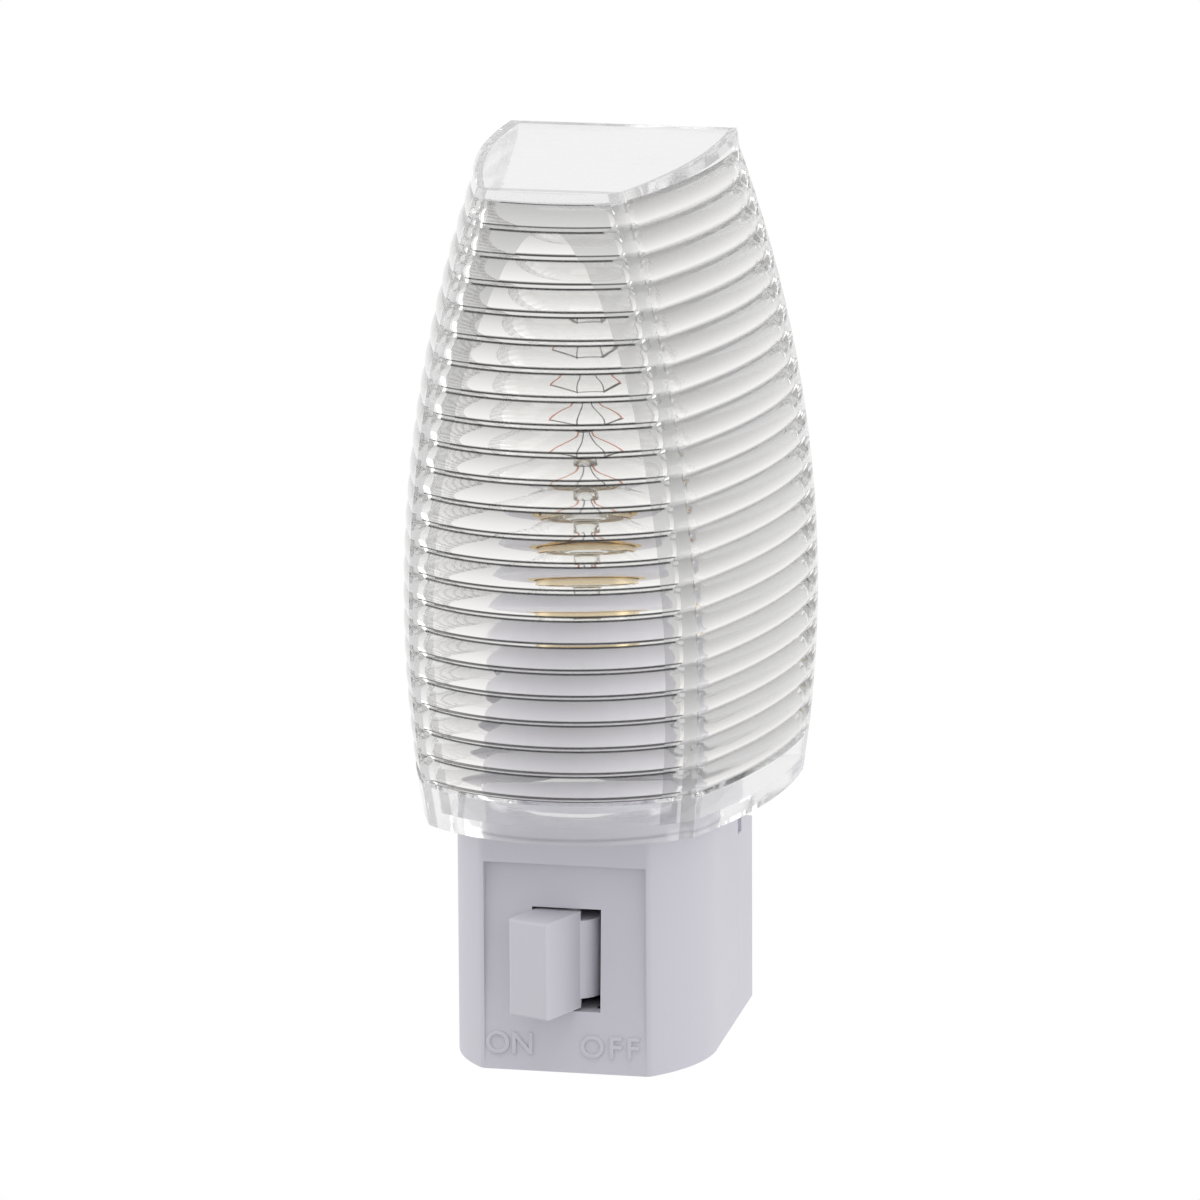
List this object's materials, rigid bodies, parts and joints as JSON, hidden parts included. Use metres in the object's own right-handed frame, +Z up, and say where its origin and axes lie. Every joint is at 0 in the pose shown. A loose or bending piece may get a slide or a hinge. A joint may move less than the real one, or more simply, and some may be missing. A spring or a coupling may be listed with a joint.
{
  "type": "plug-in night light",
  "caption": "Plug-in night light: ribbed clear shade over a small screw-in lamp, on a plug body with a tilting on-off lever.",
  "frame": {"origin": "on the plug face that meets the wall, midway between the two blades", "axes": "+Y into the wall along the blades, +Z up towards the shade, +X to the right seen from the room"},
  "size_m": [0.0462, 0.0634, 0.1046],
  "materials": {
    "clear_shade": "clear moulded acrylic, glossy",
    "housing_plastic": "satin white moulded plastic, faintly lavender",
    "lever_plastic": "satin white moulded plastic",
    "blade_brass": "rolled brass",
    "rivet_steel": "plated steel",
    "contact_brass": "stamped brass strip",
    "contact_silver": "silver contact alloy",
    "insulator_board": "pressed fibre board",
    "lamp_glass": "clear blown glass",
    "cap_brass": "bright thin brass",
    "cap_insulator": "black glass insulator",
    "solder": "dull solder",
    "stem_glass": "clear stem glass",
    "lead_wire": "copper-clad wire",
    "support_wire": "molybdenum wire",
    "filament_wire": "tungsten coil"
  },
  "bodies": {
    "base": {"front_housing": "housing_plastic", "rear_cover": "housing_plastic", "hot_blade": "blade_brass", "neutral_blade": "blade_brass", "hot_rivet": "rivet_steel", "neutral_rivet": "rivet_steel", "hot_strip": "contact_brass", "lamp_strip": "contact_brass", "shell_strap": "contact_brass", "contact_buttons": "contact_silver", "centre_contact": "contact_brass", "socket_insulator": "insulator_board", "screw_shell": "contact_brass"},
    "switch": {"switch_lever": "lever_plastic", "moving_contact": "contact_brass"},
    "lamp_foot": {"lamp_tip": "solder"},
    "lamp": {"lamp_glass": "lamp_glass", "lamp_cap": "cap_brass", "lamp_insulator": "cap_insulator", "lamp_stem": "stem_glass", "left_lead_wire": "lead_wire", "right_lead_wire": "lead_wire", "support_wires": "support_wire", "filament": "filament_wire"},
    "shade": {"shade": "clear_shade"}
  },
  "joints": [
    {"name": "switch_tilt", "type": "hinge", "parent": "base", "child": "switch", "pos_m": [0, -0.0301, 0.0002], "axis": [0, 0, 1], "range_deg": [0, 41.4]},
    {"name": "lamp_lift", "type": "slide", "parent": "base", "child": "lamp_foot", "axis": [0, 0, 1], "range_m": [0, 0.0077]},
    {"name": "lamp_turn", "type": "hinge", "parent": "lamp_foot", "child": "lamp", "pos_m": [0, -0.0215, 0.03], "axis": [0, 0, 1], "range_deg": [0, 1080]},
    {"name": "shade_pull", "type": "slide", "parent": "base", "child": "shade", "axis": [0, -1, 0], "range_m": [0, 0.038]}
  ],
  "couplings": [
    {"joint": "lamp_lift", "follows": "lamp_turn", "m_per_rad": 0.00040425}
  ]
}
